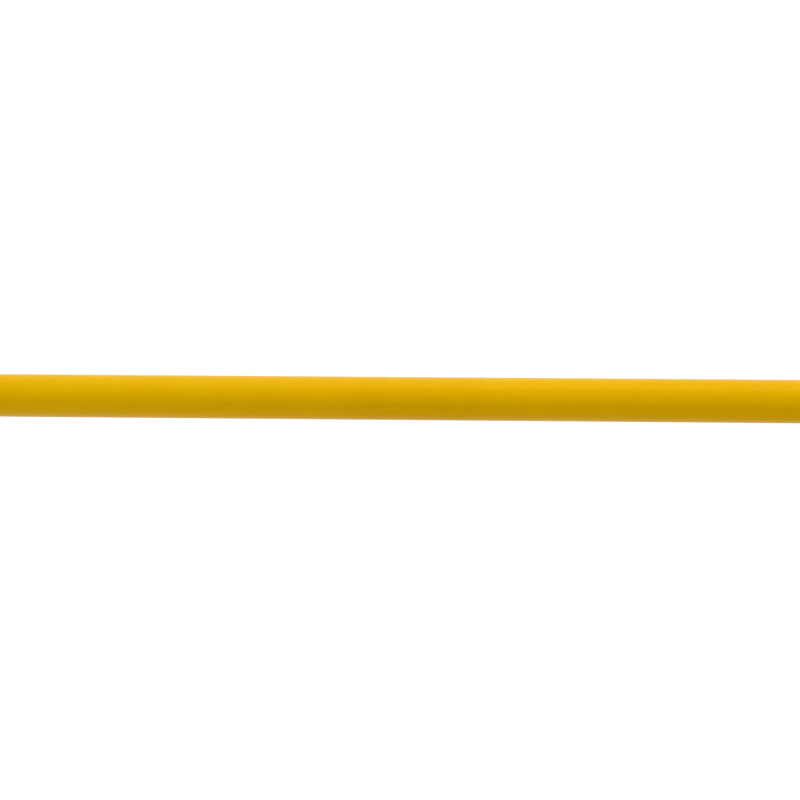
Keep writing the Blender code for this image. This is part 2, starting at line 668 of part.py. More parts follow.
# ---------------------------------------------------------------- sock
def sock_front():
    """The first band, pulled over the hoops, with its eyelets and ties."""
    place = (0, 0, head_middle)
    off = HOOP_ROD / 2 + CLOTH_CLEAR
    begin = -MOUTH_LIP
    end = band_length - GAP
    profile = [(cone_radius(begin) + off, begin), (cone_radius(end) + off, end),
               (cone_radius(end) + off + CLOTH, end), (cone_radius(begin) + off + CLOTH, begin)]
    cloth = along("X", turned(profile, ROUND))
    shift(cloth, (MOUTH_OFFSET, 0, 0))
    band = solid("sock_band_1", cloth, ORANGE_CLOTH, place, head_pivot)
    # each tie loops round the mouth hoop and through an eyelet hole behind it
    tie_out = MOUTH_RADIUS + TIE_OUT
    loop = HOOP_ROD + TIE_SLACK
    skin = cone_radius(EYELET_BACK) + off + CLOTH / 2
    rear = TIE_FORWARD + math.sqrt(loop ** 2 - (skin - tie_out) ** 2)
    holes = []
    for step in range(TIE_COUNT):
        angle = math.tau * (step + 0.5) / TIE_COUNT
        hole = rod(EYELET_HOLE / 2, skin - HOOP_ROD, skin + HOOP_ROD, 12)
        shift(hole, (MOUTH_OFFSET + rear, 0, 0))
        holes.append(turn(hole, angle, "X"))
        section = [(loop + TIE_ROD / 2 * math.cos(math.tau * k / 6),
                    TIE_ROD / 2 * math.sin(math.tau * k / 6)) for k in range(6)]
        tie = shift(along("Y", turned(section, 12)), (MOUTH_OFFSET + TIE_FORWARD, 0, tie_out))
        solid(f"sock_tie_{step + 1}", turn(tie, angle, "X"), BLACK, place, head_pivot)
    cut(band, together(*holes), place)


def limp_ring(drop, inset):
    """The hanging tail's outline at a distance below the rear hoop: a soft oval."""
    full = cone_radius(band_length + drop)
    deep = full * HANG_FILL - inset
    wide = full * (2 - HANG_FILL) * HANG_WIDTH - inset
    middle = HOOP_ROD / 2 + TAIL_CLEAR + CLOTH + full * HANG_FILL
    points = []
    for step in range(ROUND):
        angle = math.tau * step / ROUND
        points.append((middle + deep * math.cos(angle), wide * math.sin(angle), -drop))
    return points


def sock_tail():
    """The four bands that hang from the rear hoop when there is no wind."""
    for band in range(1, BAND_COUNT):
        top = (band - 1) * band_length + (GAP if band > 1 else TAIL_START)
        bottom = band * band_length
        shape = bmesh.new()
        rings = []
        for drop, inset in ((top, 0), (bottom, 0), (bottom, CLOTH), (top, CLOTH)):
            rings.append([shape.verts.new(p) for p in limp_ring(drop, inset)])
        for k in range(4):
            one = rings[k]
            two = rings[(k + 1) % 4]
            for step in range(ROUND):
                after = (step + 1) % ROUND
                shape.faces.new((one[step], one[after], two[after], two[step]))
        look = ORANGE_CLOTH if band % 2 == 0 else WHITE_CLOTH
        solid(f"sock_band_{band + 1}", shape, look, (rear_offset, 0, hang_top), tail_pivot)


base()
pivot_bolt()
mast_foot()
shoe_bolts()
clamp()
pole()
spindle()
bearings()
hub()
frame()
sock_front()
sock_tail()
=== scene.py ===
"""Windsock on a tilt-down pole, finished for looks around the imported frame."""
import json
import math
import bpy
import bmesh
from mathutils import Matrix, Vector, noise


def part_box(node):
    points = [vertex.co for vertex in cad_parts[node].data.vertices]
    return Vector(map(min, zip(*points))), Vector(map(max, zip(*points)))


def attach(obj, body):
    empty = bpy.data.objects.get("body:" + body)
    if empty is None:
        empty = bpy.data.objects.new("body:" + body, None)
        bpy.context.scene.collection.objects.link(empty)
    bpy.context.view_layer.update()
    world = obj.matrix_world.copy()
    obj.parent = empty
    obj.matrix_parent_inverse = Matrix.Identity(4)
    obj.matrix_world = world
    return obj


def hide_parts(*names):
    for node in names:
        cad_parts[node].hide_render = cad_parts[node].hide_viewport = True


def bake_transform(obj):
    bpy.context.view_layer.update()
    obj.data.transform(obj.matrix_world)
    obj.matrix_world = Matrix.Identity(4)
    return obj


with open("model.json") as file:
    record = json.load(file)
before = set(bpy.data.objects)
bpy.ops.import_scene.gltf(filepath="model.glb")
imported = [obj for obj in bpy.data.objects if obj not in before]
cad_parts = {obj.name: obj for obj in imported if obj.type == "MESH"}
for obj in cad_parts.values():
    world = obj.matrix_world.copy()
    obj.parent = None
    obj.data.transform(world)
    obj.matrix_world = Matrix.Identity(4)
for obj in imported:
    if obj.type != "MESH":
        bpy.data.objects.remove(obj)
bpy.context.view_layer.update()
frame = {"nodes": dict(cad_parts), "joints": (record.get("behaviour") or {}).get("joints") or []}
JOINTS = {j["name"]: j for j in frame["joints"]}


# ------------------------------------------------ floor, light and camera
# A white studio sweep, one large soft light on the side the mast tips to and
# a weak fill. The camera lies on its side, square on to the bare pole.
def linear(hexcode):
    """An sRGB hex colour as linear red, green and blue."""
    parts = [int(hexcode[k:k + 2], 16) / 255 for k in (0, 2, 4)]
    return tuple(c / 12.92 if c <= 0.04045 else ((c + 0.055) / 1.055) ** 2.4 for c in parts)


def node(tree, kind, settings=None, links=None):
    """Add one shader node with its settings and its links: socket name to (node, output)."""
    made = tree.nodes.new(kind)
    for key, value in (settings or {}).items():
        if isinstance(key, int) or key in made.inputs:
            made.inputs[key].default_value = value
        else:
            setattr(made, key, value)
    for key, (source, output) in (links or {}).items():
        tree.links.new(source.outputs[output], made.inputs[key])
    return made


def surface(name, colour, roughness, metallic=0.0):
    """A named material with a Principled shader; returns it with its tree and shader."""
    made = bpy.data.materials.new(name)
    made.use_nodes = True
    shader = made.node_tree.nodes["Principled BSDF"]
    shader.inputs["Base Color"].default_value = (*linear(colour), 1)
    shader.inputs["Roughness"].default_value = roughness
    shader.inputs["Metallic"].default_value = metallic
    return made, made.node_tree, shader


def two_tones(tree, factor, dark, light, dark_at=0.0, light_at=1.0):
    """A ramp between two hex colours, driven by (node, output)."""
    ramp = node(tree, "ShaderNodeValToRGB", None, {"Fac": factor})
    for stop, at, colour in zip(ramp.color_ramp.elements, (dark_at, light_at), (dark, light)):
        stop.position = at
        stop.color = (*linear(colour), 1)
    return ramp


def deselect():
    """Nothing selected and no edit mode, before an operator works on a new piece."""
    if bpy.context.object and bpy.context.object.mode != "OBJECT":
        bpy.ops.object.mode_set(mode="OBJECT")
    bpy.ops.object.select_all(action="DESELECT")


def add_piece(name, mesh):
    """A new object from a mesh, linked, active and the only one selected."""
    piece = bpy.data.objects.new(name, mesh)
    bpy.context.scene.collection.objects.link(piece)
    deselect()
    bpy.context.view_layer.objects.active = piece
    piece.select_set(True)
    return piece


def from_shape(name, shape):
    """A new object from a bmesh, which is freed."""
    mesh = bpy.data.meshes.new(name)
    shape.to_mesh(mesh)
    shape.free()
    return add_piece(name, mesh)


def apply_modifier(piece, name, kind, **settings):
    """Add a modifier to the active piece and apply it."""
    made = piece.modifiers.new(name, kind)
    for key, value in settings.items():
        setattr(made, key, value)
    bpy.ops.object.modifier_apply(modifier=name)


deselect()
FLOOR_RADIUS = 1.5
FLOOR_DROP = 0.001           # keeps the floor clear of the plate's underside
FLOOR_GLOW = 0.30
SWEEP_GLOW = 1.05            # the sweep is lit to white where the eye sees it
bpy.ops.mesh.primitive_circle_add(vertices=96, radius=FLOOR_RADIUS, fill_type="NGON",
                                  location=(0, 0, -FLOOR_DROP))
floor = bpy.context.object
floor.name = "studio_floor"
white_paint, paint_tree, paint_shader = surface("matt_white_floor", "f2f2f0", 0.9)
seen = node(paint_tree, "ShaderNodeLightPath")
glow = node(paint_tree, "ShaderNodeMath", {"operation": "MULTIPLY", 1: FLOOR_GLOW},
            {0: (seen, "Is Camera Ray")})
paint_shader.inputs["Emission Color"].default_value = (1, 1, 1, 1)
paint_tree.links.new(glow.outputs[0], paint_shader.inputs["Emission Strength"])
floor.data.materials.append(white_paint)

world = bpy.data.worlds.new("studio")
bpy.context.scene.world = world
world.use_nodes = True
sky = world.node_tree
bpy.context.scene.view_settings.view_transform = "Standard"
BRIGHT_WALL = 0.86           # white walls and table all round
DARK_WALL = 0.15             # the unlit room behind the eye, which the gloss mirrors
DARK_LEFT = (-0.86, -0.70)   # where the dark part fades in, as the X of a direction
DARK_RIGHT = (0.16, 0.28)    # where it fades out again
DARK_FRONT = (-0.25, 0.10)   # where it fades out towards the back, as the Y of a direction
DIM_RIGHT = (0.82, 1.0)      # a dimmer patch of wall far to the right
DIM_SHARE = 0.5
way_out = node(sky, "ShaderNodeTexCoord")
split = node(sky, "ShaderNodeSeparateXYZ", None, {"Vector": (way_out, "Generated")})
left = node(sky, "ShaderNodeMapRange", {"From Min": DARK_LEFT[0], "From Max": DARK_LEFT[1]},
            {"Value": (split, "X")})
right_edge = node(sky, "ShaderNodeMapRange", {"From Min": DARK_RIGHT[1], "From Max": DARK_RIGHT[0]},
                  {"Value": (split, "X")})
front_side = node(sky, "ShaderNodeMapRange", {"From Min": DARK_FRONT[1], "From Max": DARK_FRONT[0]},
                  {"Value": (split, "Y")})
middle = node(sky, "ShaderNodeMath", {"operation": "MULTIPLY"},
              {0: (left, "Result"), 1: (right_edge, "Result")})
unlit = node(sky, "ShaderNodeMath", {"operation": "MULTIPLY"},
             {0: (middle, 0), 1: (front_side, "Result")})
dim = node(sky, "ShaderNodeMapRange", {"From Min": DIM_RIGHT[0], "From Max": DIM_RIGHT[1],
                                       "To Max": DIM_SHARE}, {"Value": (split, "X")})
darker = node(sky, "ShaderNodeMath", {"operation": "MAXIMUM"}, {0: (unlit, 0), 1: (dim, "Result")})
room = node(sky, "ShaderNodeMapRange", {"To Min": BRIGHT_WALL, "To Max": DARK_WALL},
            {"Value": (darker, 0)})
seen = node(sky, "ShaderNodeLightPath")
level = node(sky, "ShaderNodeMix", {"data_type": "FLOAT"}, {0: (seen, "Is Camera Ray")})
sky.links.new(room.outputs["Result"], level.inputs[2])
level.inputs[3].default_value = SWEEP_GLOW
sky.nodes["Background"].inputs["Color"].default_value = (1, 1, 1, 1)
sky.links.new(level.outputs[0], sky.nodes["Background"].inputs["Strength"])


def softbox(name, at, towards, wide, tall, watts):
    """One rectangular area light, its tall side upright."""
    lamp = bpy.data.lights.new(name, "AREA")
    lamp.shape = "RECTANGLE"
    lamp.size = wide
    lamp.size_y = tall
    lamp.energy = watts
    held = bpy.data.objects.new(name, lamp)
    bpy.context.scene.collection.objects.link(held)
    held.location = at
    held.rotation_euler = (Vector(towards) - Vector(at)).to_track_quat("-Z", "Y").to_euler()


softbox("strip_light", (-2.6, -0.85, 1.25), (0, 0, 1.25), 0.40, 3.0, 40)
softbox("top_light", (-1.6, -2.2, 4.4), (0.1, 0, 1.4), 1.6, 1.6, 70)
softbox("rim_light", (1.8, 2.6, 3.0), (0.1, 0, 1.8), 1.2, 1.2, 10)

EYE_HEIGHT = 0.76
EYE_SIDE = 0.0017
STRETCH = 0.897              # length of pole across the view
DISTANCE = 2.4
SENSOR = 36                  # in millimetres
LEAN = math.radians(3.4)     # the upper end comes a little nearer
SLOPE = math.radians(0.45)   # the pole runs slightly downhill in the view
lens_data = bpy.data.cameras.new("camera")
lens_data.sensor_width = SENSOR
lens_data.lens = SENSOR / 2 / (STRETCH / 2 / DISTANCE)
lens_data.clip_end = 200
camera = bpy.data.objects.new("camera", lens_data)
bpy.context.scene.collection.objects.link(camera)
back = Vector((0, -math.cos(LEAN), math.sin(LEAN)))
right = Vector((0, math.sin(LEAN), math.cos(LEAN)))
turned_up = back.cross(right)
right, turned_up = (right * math.cos(SLOPE) + turned_up * math.sin(SLOPE),
                    turned_up * math.cos(SLOPE) - right * math.sin(SLOPE))
facing = Matrix((right, turned_up, back)).transposed().to_4x4()
eye = Vector((EYE_SIDE, 0, EYE_HEIGHT)) + back * DISTANCE
camera.matrix_world = Matrix.Translation(eye) @ facing
bpy.context.scene.camera = camera


# ------------------------------------------------ base, hinge and foot
# Flame-cut steel plate and welded tube, hot-dip galvanised after welding, so
# every edge is softened and the zinc shows a faint spangle.
def galvanised_zinc():
    """Hot-dip zinc: light grey metal, faint crystals about 4 mm across, dull blotches."""
    dark_tone = 0.42
    light_tone = 0.95
    made, tree, shader = surface("galvanised_steel", "9fa3a5", 0.45, 1.0)
    place = node(tree, "ShaderNodeTexCoord")
    crystal = node(tree, "ShaderNodeTexVoronoi", {"Scale": 250.0, "Randomness": 1.0},
                   {"Vector": (place, "Object")})
    cloud = node(tree, "ShaderNodeTexNoise", {"Scale": 38.0, "Detail": 5.0, "Roughness": 0.6},
                 {"Vector": (place, "Object")})
    facet = node(tree, "ShaderNodeRGBToBW", None, {"Color": (crystal, "Color")})
    tone = node(tree, "ShaderNodeMath", {"operation": "MULTIPLY_ADD", 1: 0.34},
                {0: (facet, "Val"), 2: (cloud, "Fac")})
    ramp = two_tones(tree, (tone, 0), "8b9092", "b6babb", dark_tone, light_tone)
    tree.links.new(ramp.outputs["Color"], shader.inputs["Base Color"])
    rough = node(tree, "ShaderNodeMapRange", {"From Min": dark_tone, "From Max": light_tone,
                                              "To Min": 0.58, "To Max": 0.38}, {"Value": (tone, 0)})
    tree.links.new(rough.outputs["Result"], shader.inputs["Roughness"])
    bump = node(tree, "ShaderNodeBump", {"Strength": 0.3, "Distance": 0.0006},
                {"Height": (cloud, "Fac")})
    tree.links.new(bump.outputs["Normal"], shader.inputs["Normal"])
    return made


def brushed_stainless():
    """Turned stainless: bright metal with fine rings and a few darker streaks."""
    made, tree, shader = surface("turned_stainless", "c3c4c3", 0.28, 1.0)
    place = node(tree, "ShaderNodeTexCoord")
    stretch = node(tree, "ShaderNodeMapping", {"Scale": (60, 60, 1400)}, {"Vector": (place, "Object")})
    grain = node(tree, "ShaderNodeTexNoise", {"Scale": 1.0, "Detail": 3.0},
                 {"Vector": (stretch, "Vector")})
    rough = node(tree, "ShaderNodeMapRange", {"To Min": 0.18, "To Max": 0.42},
                 {"Value": (grain, "Fac")})
    tree.links.new(rough.outputs["Result"], shader.inputs["Roughness"])
    ramp = two_tones(tree, (grain, "Fac"), "a7a8a8", "d6d6d4")
    tree.links.new(ramp.outputs["Color"], shader.inputs["Base Color"])
    bump = node(tree, "ShaderNodeBump", {"Strength": 0.15, "Distance": 0.0002},
                {"Height": (grain, "Fac")})
    tree.links.new(bump.outputs["Normal"], shader.inputs["Normal"])
    return made


ZINC = galvanised_zinc()
STAINLESS = brushed_stainless()


def dress(piece, body, look, slot, *nodes):
    """Material, body and the CAD nodes a new piece stands for."""
    piece.data.materials.clear()
    piece.data.materials.append(look)
    if nodes:
        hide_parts(*nodes)
    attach(piece, body)


def soften(name, body, look, slot, edge=0.0008, steps=2, trim=None):
    """A copy of a CAD piece, trimmed by a shape if given, with its sharp edges rounded."""
    piece = add_piece(f"{name}_finished", frame["nodes"][name].data.copy())
    bpy.ops.object.mode_set(mode="EDIT")
    bpy.ops.mesh.select_all(action="SELECT")
    bpy.ops.mesh.remove_doubles(threshold=1e-6)
    bpy.ops.mesh.dissolve_limited(angle_limit=math.radians(0.5))
    bpy.ops.object.mode_set(mode="OBJECT")
    if trim:
        apply_modifier(piece, "chamfer", "BOOLEAN", operation="INTERSECT", solver="EXACT", object=trim)
        bpy.data.objects.remove(trim, do_unlink=True)
    apply_modifier(piece, "edges", "BEVEL", width=edge, segments=steps, limit_method="ANGLE",
                   angle_limit=math.radians(40), use_clamp_overlap=True)
    bpy.ops.object.shade_smooth_by_angle(angle=math.radians(32))
    dress(piece, body, look, slot, name)


def lathe(name, profile, at, towards, sides=96):
    """A closed turned body: a profile of (radius, distance) spun about the line at -> towards."""
    at = Vector(at)
    lay = (Vector(towards) - at).to_track_quat("Z", "Y").to_matrix()
    shape = bmesh.new()
    rings = [[shape.verts.new(at + lay @ Vector((r * math.cos(math.tau * k / sides),
                                                 r * math.sin(math.tau * k / sides), z)))
              for k in range(sides)] for r, z in profile]
    for one, two in zip(rings, rings[1:] + rings[:1]):
        for k in range(sides):
            shape.faces.new((one[k], one[(k + 1) % sides], two[(k + 1) % sides], two[k]))
    bmesh.ops.remove_doubles(shape, verts=shape.verts, dist=1e-7)
    bmesh.ops.dissolve_degenerate(shape, edges=shape.edges, dist=1e-7)
    bmesh.ops.recalc_face_normals(shape, faces=shape.faces)
    piece = from_shape(name, shape)
    bpy.ops.object.shade_smooth_by_angle(angle=math.radians(35))
    return piece


for plate_name in ("base_plate", "cheek_left", "cheek_right", "base_gusset_1", "base_gusset_2",
                   "base_gusset_3", "base_gusset_4"):
    soften(plate_name, "base", ZINC, "galvanised_steel", 0.0012, 3)
soften("mast_foot", "mast", ZINC, "galvanised_steel", 0.0010, 3)


# Weld beads along the feet of the cheeks and gussets: a low ridge of ripples
# where the rod was laid, galvanised with the rest.
RIPPLE = 0.55                # ripple pitch as a share of the bead's radius
RIPPLE_ROWS = 4              # rows of points in each ripple
BEAD_SIDES = 10


def weld(name, start, end, radius, body, out):
    """A rippled fillet bead between two points, its hump towards out."""
    start = Vector(start)
    end = Vector(end)
    run = (end - start).normalized()
    out = Vector(out).normalized()
    side = run.cross(out)
    ripples = max(4, int((end - start).length / (radius * RIPPLE)))
    rows = ripples * RIPPLE_ROWS
    shape = bmesh.new()
    rings = []
    for row in range(rows + 1):
        share = row / rows
        taper = min(1.0, share * rows / 3, (1 - share) * rows / 3) ** 0.5 if 0 < share < 1 else 0.12
        size = radius * taper * (0.90 + 0.10 * abs(math.sin(math.pi * share * ripples)))
        centre = start.lerp(end, share)
        rings.append([shape.verts.new(centre + size * (math.cos(a) * out + math.sin(a) * side))
                      for a in [math.tau * k / BEAD_SIDES for k in range(BEAD_SIDES)]])
    for one, two in zip(rings, rings[1:]):
        for k in range(BEAD_SIDES):
            after = (k + 1) % BEAD_SIDES
            shape.faces.new((one[k], two[k], two[after], one[after]))
    shape.faces.new(rings[0])
    shape.faces.new(list(reversed(rings[-1])))
    bmesh.ops.recalc_face_normals(shape, faces=shape.faces)
    piece = from_shape(name, shape)
    piece.data.shade_smooth()
    dress(piece, body, ZINC, "galvanised_steel")


CHEEK_BEAD = 0.0030
GUSSET_BEAD = 0.0022
FOOT_BEAD = 0.0026
CHEEK_STOP = 0.003           # each bead stops a little short of the plate's end
GUSSET_HEEL = 0.004
GUSSET_TOE = 0.002
for side_name, way in (("left", 1), ("right", -1)):
    low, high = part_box(f"cheek_{side_name}")
    face = high.y if way > 0 else low.y
    weld(f"weld_cheek_{side_name}", (low.x + CHEEK_STOP, face, low.z),
         (high.x - CHEEK_STOP, face, low.z), CHEEK_BEAD, "base", (0, way, 1))
for number in range(1, 5):
    low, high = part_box(f"base_gusset_{number}")
    way = 1 if low.y > 0 else -1
    near = low.y if way > 0 else high.y
    far = high.y if way > 0 else low.y
    for tag, x, out in (("a", low.x, -1), ("b", high.x, 1)):
        weld(f"weld_gusset_{number}{tag}", (x, near + way * GUSSET_HEEL, low.z),
             (x, far - way * GUSSET_TOE, low.z), GUSSET_BEAD, "base", (out, 0, 1))
        weld(f"weld_upright_{number}{tag}", (x, near, low.z + GUSSET_HEEL),
             (x, near, high.z - GUSSET_TOE), GUSSET_BEAD, "base", (out, way, 0))

TONGUE_EDGE = 0.017          # half the tongue's width, where it meets the socket's floor
TONGUE_BEAD = 0.0235         # half the bead's length across the tongue
SOCKET_UNDER = 0.0053        # the socket's underside below the pole's end
socket_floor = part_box("pole")[0].z - SOCKET_UNDER
for tag, sign in (("rear", -1), ("front", 1)):
    weld(f"weld_foot_{tag}", (sign * TONGUE_EDGE, -TONGUE_BEAD, socket_floor),
         (sign * TONGUE_EDGE, TONGUE_BEAD, socket_floor), FOOT_BEAD, "mast", (sign, 0, -1))


# ------------------------------------------------ bolts, nuts and washers
# Plain stainless hexagon fasteners. Pressed heads and nuts have a turned
# 30 degree chamfer on their corners, and shanks end in a short lead-in.
CORNER_CUT = math.radians(30)
CUT_OVER = 0.001             # the trimming shape goes past both ends


def corner_cone(name, axis, flats, both_ends, shank):
    """The turned shape that trims a hexagon's corners and, on a bolt, its shank's end."""
    low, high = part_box(name)
    middle = (low + high) / 2
    length = high[axis] - low[axis]
    wide = flats * 0.75
    inside = flats * 0.485
    rise = (wide - inside) * math.tan(CORNER_CUT)
    nose = inside - CUT_OVER / math.tan(CORNER_CUT)
    profile = [(0, -CUT_OVER), (nose, -CUT_OVER), (wide, rise)]
    if both_ends:
        profile += [(wide, length - rise), (nose, length + CUT_OVER)]
    else:
        clear = shank * 1.1
        profile += [(wide, length * 0.6), (clear, length * 0.6), (clear, length - shank * 0.25),
                    (shank * 0.85, length), (shank * 0.80, length + CUT_OVER)]
    profile.append((0, length + CUT_OVER))
    first = middle.copy()
    first[axis] = low[axis]
    second = middle.copy()
    second[axis] = high[axis]
    return lathe(f"{name}_cone", profile, first, second, 64)


for name, body, axis, flats, both_ends, shank in (
        ("pivot_bolt", "base", 1, 0.024, False, 0.008), ("pivot_nut", "base", 1, 0.024, True, 0),
        ("shoe_bolt_1", "mast", 0, 0.016, False, 0.005), ("shoe_bolt_2", "mast", 0, 0.016, False, 0.005),
        ("shoe_nut_1", "mast", 0, 0.016, True, 0), ("shoe_nut_2", "mast", 0, 0.016, True, 0),
        ("clamp_nut", "mast", 1, 0.018, True, 0)):
    soften(name, body, STAINLESS, "bright_steel", 0.0003,
           trim=corner_cone(name, axis, flats, both_ends, shank))
for name, body, edge in (("pivot_washer_1", "base", 0.0003), ("pivot_washer_2", "base", 0.0003),
                         ("clamp_bolt", "mast", 0.0006),
                         ("clamp_washer_1", "mast", 0.0003), ("clamp_washer_2", "mast", 0.0003),
                         ("spindle", "mast", 0.0004), ("spindle_screw_1", "mast", 0.0004),
                         ("spindle_screw_2", "mast", 0.0004), ("spindle_screw_3", "mast", 0.0004),
                         ("spindle_washer", "mast", 0.0003), ("spindle_nut", "mast", 0.0006),
                         ("lower_bearing_inner", "mast", 0.0002),
                         ("upper_bearing_inner", "mast", 0.0002),
                         ("lower_bearing_outer", "head", 0.0002),
                         ("upper_bearing_outer", "head", 0.0002)):
    soften(name, body, STAINLESS, "bright_steel", edge)


# The bush and the two ball cages are sintered bronze, warm and slightly dull.
def bearing_bronze():
    """Oiled bronze: brown-gold metal with fine pores."""
    made, tree, shader = surface("bearing_bronze", "a27c46", 0.38, 1.0)
    place = node(tree, "ShaderNodeTexCoord")
    pores = node(tree, "ShaderNodeTexNoise", {"Scale": 900.0, "Detail": 2.0},
                 {"Vector": (place, "Object")})
    ramp = two_tones(tree, (pores, "Fac"), "7a5a30", "b98f52")
    tree.links.new(ramp.outputs["Color"], shader.inputs["Base Color"])
    bump = node(tree, "ShaderNodeBump", {"Strength": 0.2, "Distance": 0.0001},
                {"Height": (pores, "Fac")})
    tree.links.new(bump.outputs["Normal"], shader.inputs["Normal"])
    return made


BRONZE = bearing_bronze()
soften("pivot_bush", "mast", BRONZE, "bronze", 0.0003)
soften("lower_bearing_cage", "head", BRONZE, "bronze", 0.0001)
soften("upper_bearing_cage", "head", BRONZE, "bronze", 0.0001)


# ------------------------------------------------ clamp lever
# A black nylon hand lever moulded round a steel boss, screwed on the clamp
# bolt. The moulding is matt, with fine grain from the tool.
def moulded_nylon(name, colour, roughness):
    """Moulded nylon: dark, matt, with a grain of about 0.5 mm."""
    made, tree, shader = surface(name, colour, roughness)
    place = node(tree, "ShaderNodeTexCoord")
    grain = node(tree, "ShaderNodeTexNoise", {"Scale": 1600.0, "Detail": 2.0},
                 {"Vector": (place, "Object")})
    wear = node(tree, "ShaderNodeTexNoise", {"Scale": 60.0, "Detail": 5.0},
                {"Vector": (place, "Object")})
    rough = node(tree, "ShaderNodeMapRange", {"To Min": roughness - 0.1, "To Max": roughness + 0.12},
                 {"Value": (wear, "Fac")})
    tree.links.new(rough.outputs["Result"], shader.inputs["Roughness"])
    bump = node(tree, "ShaderNodeBump", {"Strength": 0.3, "Distance": 0.0002},
                {"Height": (grain, "Fac")})
    tree.links.new(bump.outputs["Normal"], shader.inputs["Normal"])
    return made


NYLON = moulded_nylon("moulded_nylon", "1c1d1e", 0.45)
RUBBER = moulded_nylon("nitrile_rubber", "141414", 0.7)
LEVER_GAP = 0.0003           # between the boss and its washer
BOSS, BORE, BOSS_LONG, CROWN, DOME = 0.0105, 0.0063, 0.022, 0.003, 0.004
lever_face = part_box("clamp_washer_1")[0].y - LEVER_GAP
lever_height = JOINTS["lever_turn"]["pos_m"][2]
tip = lever_face - BOSS_LONG
boss_profile = [(BORE, 0), (BOSS, 0)]
boss_profile += [(BOSS * math.cos(a), BOSS_LONG - DOME + DOME * math.sin(a))
                 for a in [math.pi / 2 * k / 8 for k in range(8)]]
boss_profile += [(0, BOSS_LONG), (0, BOSS_LONG - CROWN), (BORE, BOSS_LONG - CROWN)]
moulding = [lathe("lever_boss", boss_profile, (0, lever_face, lever_height), (0, tip, lever_height), 64)]
neck_start = Vector((0.0085, tip + 0.0066, lever_height))
elbow = Vector((0.036, tip + 0.0034, lever_height))
grip_end = Vector((0.085, tip - 0.003, lever_height))
NECK_INTO_GRIP = 0.004
long = (elbow - neck_start).length + NECK_INTO_GRIP
neck_profile = [(0, 0), (0.0062, 0), (0.0048, long / 2), (0.0054, long), (0, long)]
moulding.append(lathe("lever_neck", neck_profile, neck_start, elbow, 48))
long = (grip_end - elbow).length
swell = [(0.0060, 0.0), (0.0067, 0.06), (0.0069, 0.3), (0.0066, 0.6), (0.0068, 0.85), (0.0062, 0.94),
         (0.0042, 0.99)]    # the grip's radius at shares of its length
grip_profile = [(0, 0)] + [(r, share * long) for r, share in swell] + [(0, long)]
moulding.append(lathe("lever_grip", grip_profile, elbow, grip_end, 48))
deselect()
for piece in moulding:
    piece.select_set(True)
bpy.context.view_layer.objects.active = moulding[0]
bpy.ops.object.join()
lever = bpy.context.object
lever.name = "clamp_lever_moulding"
apply_modifier(lever, "one_moulding", "REMESH", mode="VOXEL", voxel_size=0.0005, use_smooth_shade=True)
apply_modifier(lever, "fillets", "SMOOTH", iterations=8)
dress(lever, "lever", NYLON, "black_plastic", "clamp_lever")
soften("dust_seal", "head", RUBBER, "black_rubber", 0.0004)


# ------------------------------------------------ pole
# Drawn steel tube, powder coated golden yellow. The coat flows to a soft
# gloss with very slight orange peel, and its ends are bare cut rings.
def powder_coat():
    """Polyester powder coat: golden yellow, soft gloss, orange peel about 3 mm across."""
    made, tree, shader = surface("yellow_powder_coat", "dba80f", 0.34)
    shader.inputs["Specular IOR Level"].default_value = 0.09
    shader.inputs["Specular Tint"].default_value = (*linear("fff04a"), 1)
    place = node(tree, "ShaderNodeTexCoord")
    cloud = node(tree, "ShaderNodeTexNoise", {"Scale": 9.0, "Detail": 5.0, "Roughness": 0.6},
                 {"Vector": (place, "Object")})
    ramp = two_tones(tree, (cloud, "Fac"), "dba600", "e1ae00", 0.3, 0.7)
    tree.links.new(ramp.outputs["Color"], shader.inputs["Base Color"])
    peel = node(tree, "ShaderNodeTexNoise", {"Scale": 330.0, "Detail": 2.0},
                {"Vector": (place, "Object")})
    streak_map = node(tree, "ShaderNodeMapping", {"Scale": (260, 260, 5)},
                      {"Vector": (place, "Object")})
    streak = node(tree, "ShaderNodeTexNoise", {"Scale": 1.0, "Detail": 3.0},
                  {"Vector": (streak_map, "Vector")})
    rough = node(tree, "ShaderNodeMapRange", {"To Min": 0.28, "To Max": 0.40},
                 {"Value": (streak, "Fac")})
    tree.links.new(rough.outputs["Result"], shader.inputs["Roughness"])
    bump = node(tree, "ShaderNodeBump", {"Strength": 0.08, "Distance": 0.0004},
                {"Height": (peel, "Fac")})
    draw = node(tree, "ShaderNodeBump", {"Strength": 0.06, "Distance": 0.0003},
                {"Height": (streak, "Fac"), "Normal": (bump, "Normal")})
    tree.links.new(draw.outputs["Normal"], shader.inputs["Normal"])
    return made


YELLOW = powder_coat()
pole_low, pole_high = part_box("pole")
pole_radius = (pole_high.x - pole_low.x) / 2
POLE_WALL = 0.0032
POLE_RIM = 0.0006            # rounding of the cut ends
pole_length = pole_high.z - pole_low.z
deselect()
bpy.ops.mesh.primitive_cylinder_add(vertices=128, radius=pole_radius, depth=pole_length,
                                    end_fill_type="NOTHING",
                                    location=(0, 0, (pole_low.z + pole_high.z) / 2))
pole = bpy.context.object
pole.name = "pole_tube"
bpy.ops.object.transform_apply(location=True, rotation=True, scale=True)
apply_modifier(pole, "wall", "SOLIDIFY", thickness=POLE_WALL, offset=-1)
apply_modifier(pole, "rims", "BEVEL", width=POLE_RIM, segments=3, limit_method="ANGLE",
               angle_limit=math.radians(50))
bpy.ops.object.shade_smooth_by_angle(angle=math.radians(40))
dress(pole, "mast", YELLOW, "yellow_coat", "pole")


